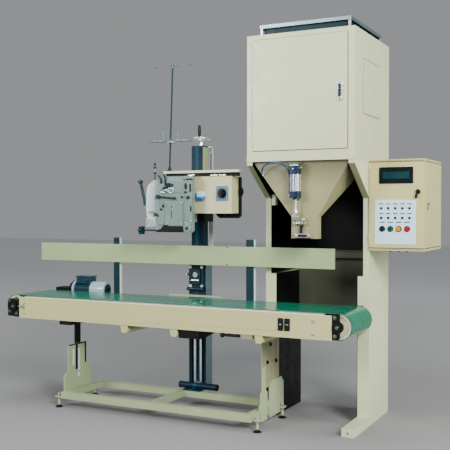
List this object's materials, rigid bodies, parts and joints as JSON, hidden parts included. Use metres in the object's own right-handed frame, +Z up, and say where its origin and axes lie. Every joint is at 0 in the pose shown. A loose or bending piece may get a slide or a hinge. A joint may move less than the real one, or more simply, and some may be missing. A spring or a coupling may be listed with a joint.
{
  "type": "bag filling and closing line",
  "caption": "Weigh-fill scale with clamp spout over a green belt conveyor, guide board, and a bag closer sewing head on a lift column with its own switch box and motor.",
  "frame": {"origin": "on the floor, under the centre of the whole line's outline", "axes": "+Z up, +X along the conveyor towards the scale, -Y towards the operator"},
  "size_m": [3.204, 1.047, 2.8],
  "materials": {
    "cabinet_paint": "satin pale green-cream powder coat",
    "rail_paint": "satin warm beige enamel",
    "board_paint": "satin greenish beige enamel",
    "frame_paint": "satin cream-green enamel",
    "hopper_paint": "satin tan enamel",
    "black_paint": "semi-gloss black enamel",
    "dark_teal_paint": "semi-gloss dark blue-green enamel",
    "casting_paint": "glossy pale grey-green machine enamel over cast iron",
    "motor_paint": "hammered silver-blue enamel",
    "steel": "brushed, satin",
    "chrome": "polished",
    "black_plastic": "moulded, matte",
    "white_film": "white polyester membrane",
    "display_glass": "dark green display bezel and window",
    "green_button": "moulded, glossy",
    "orange_button": "moulded, glossy",
    "red_button": "moulded, glossy",
    "handle_blue": "blue insert in a chromed latch",
    "belt_green": "smooth glossy PVC conveyor belting",
    "hose_blue": "blue polyurethane air hose"
  },
  "bodies": {
    "line": {"cabinet_shell": "cabinet_paint", "inlet_flange": "steel", "stand_left": "cabinet_paint", "stand_right": "cabinet_paint", "back_panel": "cabinet_paint", "hopper": "hopper_paint", "weigh_bucket": "steel", "air_cylinder": "steel", "air_hose": "hose_blue", "control_cabinet": "cabinet_paint", "base_frame": "frame_paint", "column": "dark_teal_paint", "guide_rods": "chrome"},
    "scale_door": {"cabinet_door": "cabinet_paint"},
    "latch": {"door_handle": "handle_blue"},
    "piston": {"cylinder_rod": "chrome"},
    "clamp": {"bag_clamp": "chrome"},
    "panel": {"control_door": "cabinet_paint", "display_window": "display_glass", "keypad_panel": "white_film"},
    "button_1": {"push_button_1": "black_plastic"},
    "button_2": {"push_button_2": "green_button"},
    "button_3": {"push_button_3": "orange_button"},
    "button_4": {"push_button_4": "red_button"},
    "selector": {"key_knob": "black_plastic"},
    "conveyor": {"rail_front": "rail_paint", "rail_back": "rail_paint", "slider_bed": "steel", "conveyor_belt": "belt_green", "bearing_front_tail": "black_paint", "bearing_back_tail": "black_paint", "bearing_front_drive": "black_paint", "gear_box": "black_paint", "drive_motor": "motor_paint", "upright_left": "black_paint", "upright_right": "frame_paint", "guide_board": "board_paint"},
    "drive_drum": {"drive_roller": "steel"},
    "tail_drum": {"tail_roller": "steel"},
    "idler_1": {"return_roller_1": "rail_paint"},
    "idler_2": {"return_roller_2": "rail_paint"},
    "idler_3": {"return_roller_3": "rail_paint"},
    "handwheel": {"lift_handwheel": "chrome"},
    "sewing_carriage": {"carriage": "black_paint", "table_plate": "cabinet_paint", "thread_stand": "steel", "sewing_box": "cabinet_paint", "sewing_motor": "black_paint", "head_casting": "casting_paint"},
    "switch": {"rotary_knob": "black_plastic"},
    "motor_shaft": {"motor_pulley": "steel"},
    "head_shaft": {"head_pulley": "steel"},
    "needle": {"needle_bar": "chrome"},
    "presser": {"presser_foot": "chrome"},
    "lifter": {"presser_lever": "dark_teal_paint"},
    "cover": {"looper_cover": "casting_paint"},
    "feed_dial": {"feed_knob": "dark_teal_paint"},
    "takeup": {"thread_takeup": "dark_teal_paint"}
  },
  "joints": [
    {"name": "scale_door_hinge", "type": "hinge", "parent": "line", "child": "scale_door", "pos_m": [0.481, -0.3155, 2.303], "axis": [0, 0, -1], "range_deg": [0, 110]},
    {"name": "latch_lever", "type": "hinge", "parent": "scale_door", "child": "latch", "pos_m": [1.116, -0.3225, 2.342], "axis": [-1, 0, 0], "range_deg": [0, 40], "stiffness_Nm_per_rad": 0.3},
    {"name": "clamp_hinge", "type": "hinge", "parent": "line", "child": "clamp", "pos_m": [0.8415, -0.3045, 1.42], "axis": [-1, 0, 0], "range_deg": [0, 25]},
    {"name": "cylinder_stroke", "type": "slide", "parent": "line", "child": "piston", "axis": [0, 0, 1], "range_m": [0, 0.0125]},
    {"name": "panel_hinge", "type": "hinge", "parent": "line", "child": "panel", "pos_m": [1.2215, 0.0055, 1.543], "axis": [0, 0, -1], "range_deg": [0, 75]},
    {"name": "button_1_press", "type": "slide", "parent": "panel", "child": "button_1", "axis": [0, 1, 0], "range_m": [0, 0.003], "stiffness_N_per_m": 300},
    {"name": "button_2_press", "type": "slide", "parent": "panel", "child": "button_2", "axis": [0, 1, 0], "range_m": [0, 0.003], "stiffness_N_per_m": 300},
    {"name": "button_3_press", "type": "slide", "parent": "panel", "child": "button_3", "axis": [0, 1, 0], "range_m": [0, 0.003], "stiffness_N_per_m": 300},
    {"name": "button_4_press", "type": "slide", "parent": "panel", "child": "button_4", "axis": [0, 1, 0], "range_m": [0, 0.003], "stiffness_N_per_m": 300},
    {"name": "selector_turn", "type": "hinge", "parent": "panel", "child": "selector", "pos_m": [1.56, 0.0051, 1.632], "axis": [0, -1, 0], "range_deg": [0, 90]},
    {"name": "conveyor_height", "type": "slide", "parent": "line", "child": "conveyor", "axis": [0, 0, 1], "range_m": [-0.09, 0.05]},
    {"name": "drive_spin", "type": "hinge", "parent": "conveyor", "child": "drive_drum", "pos_m": [-1.5, -0.2645, 0.755], "axis": [0, 1, 0], "continuous": true},
    {"name": "tail_spin", "type": "hinge", "parent": "conveyor", "child": "tail_drum", "pos_m": [1.17, -0.2645, 0.755], "axis": [0, 1, 0], "continuous": true},
    {"name": "idler_1_spin", "type": "hinge", "parent": "conveyor", "child": "idler_1", "pos_m": [-0.47, -0.2645, 0.636], "axis": [0, 1, 0], "continuous": true},
    {"name": "idler_2_spin", "type": "hinge", "parent": "conveyor", "child": "idler_2", "pos_m": [-0.05, -0.2645, 0.636], "axis": [0, 1, 0], "continuous": true},
    {"name": "idler_3_spin", "type": "hinge", "parent": "conveyor", "child": "idler_3", "pos_m": [0.612, -0.2645, 0.636], "axis": [0, 1, 0], "continuous": true},
    {"name": "handwheel_turn", "type": "hinge", "parent": "line", "child": "handwheel", "pos_m": [-0.151, 0.1, 2.008], "axis": [0, 0, 1], "range_deg": [-4320, 4320]},
    {"name": "sewing_height", "type": "slide", "parent": "line", "child": "sewing_carriage", "axis": [0, 0, 1], "range_m": [-0.119, 0.119]},
    {"name": "switch_turn", "type": "hinge", "parent": "sewing_carriage", "child": "switch", "pos_m": [0.19, -0.2159, 1.63], "axis": [0, -1, 0], "range_deg": [0, 90]},
    {"name": "head_shaft_spin", "type": "hinge", "parent": "sewing_carriage", "child": "head_shaft", "pos_m": [-0.0585, -0.165, 1.56], "axis": [1, 0, 0], "continuous": true},
    {"name": "motor_shaft_spin", "type": "hinge", "parent": "sewing_carriage", "child": "motor_shaft", "pos_m": [-0.0585, -0.014, 1.52], "axis": [1, 0, 0], "continuous": true},
    {"name": "needle_stroke", "type": "slide", "parent": "sewing_carriage", "child": "needle", "axis": [0, -1, 0], "range_m": [0, 0.03]},
    {"name": "presser_lift", "type": "slide", "parent": "sewing_carriage", "child": "presser", "axis": [0, 1, 0], "range_m": [0, 0.012]},
    {"name": "lifter_turn", "type": "hinge", "parent": "sewing_carriage", "child": "lifter", "pos_m": [-0.418, -0.289, 1.556], "axis": [0, -1, 0], "range_deg": [0, 25], "stiffness_Nm_per_rad": 0.8},
    {"name": "cover_hinge", "type": "hinge", "parent": "sewing_carriage", "child": "cover", "pos_m": [-0.08, -0.3199, 1.4845], "axis": [0, 0, 1], "range_deg": [0, 110]},
    {"name": "feed_dial_turn", "type": "hinge", "parent": "sewing_carriage", "child": "feed_dial", "pos_m": [-0.307, -0.288, 1.358], "axis": [1, 0, 0], "range_deg": [-180, 180]},
    {"name": "takeup_rock", "type": "hinge", "parent": "sewing_carriage", "child": "takeup", "pos_m": [-0.29, -0.3199, 1.608], "axis": [0, -1, 0], "range_deg": [0, 10]}
  ],
  "couplings": [
    {"joint": "cylinder_stroke", "follows": "clamp_hinge", "m_per_rad": 0.0275},
    {"joint": "tail_spin", "follows": "drive_spin", "ratio": 1},
    {"joint": "idler_1_spin", "follows": "drive_spin", "ratio": -2.75},
    {"joint": "idler_2_spin", "follows": "drive_spin", "ratio": -2.75},
    {"joint": "idler_3_spin", "follows": "drive_spin", "ratio": -2.75},
    {"joint": "handwheel_turn", "follows": "sewing_height", "rad_per_m": 628.32},
    {"joint": "motor_shaft_spin", "follows": "head_shaft_spin", "ratio": 1.8667},
    {"joint": "presser_lift", "follows": "lifter_turn", "m_per_rad": 0.0274}
  ]
}
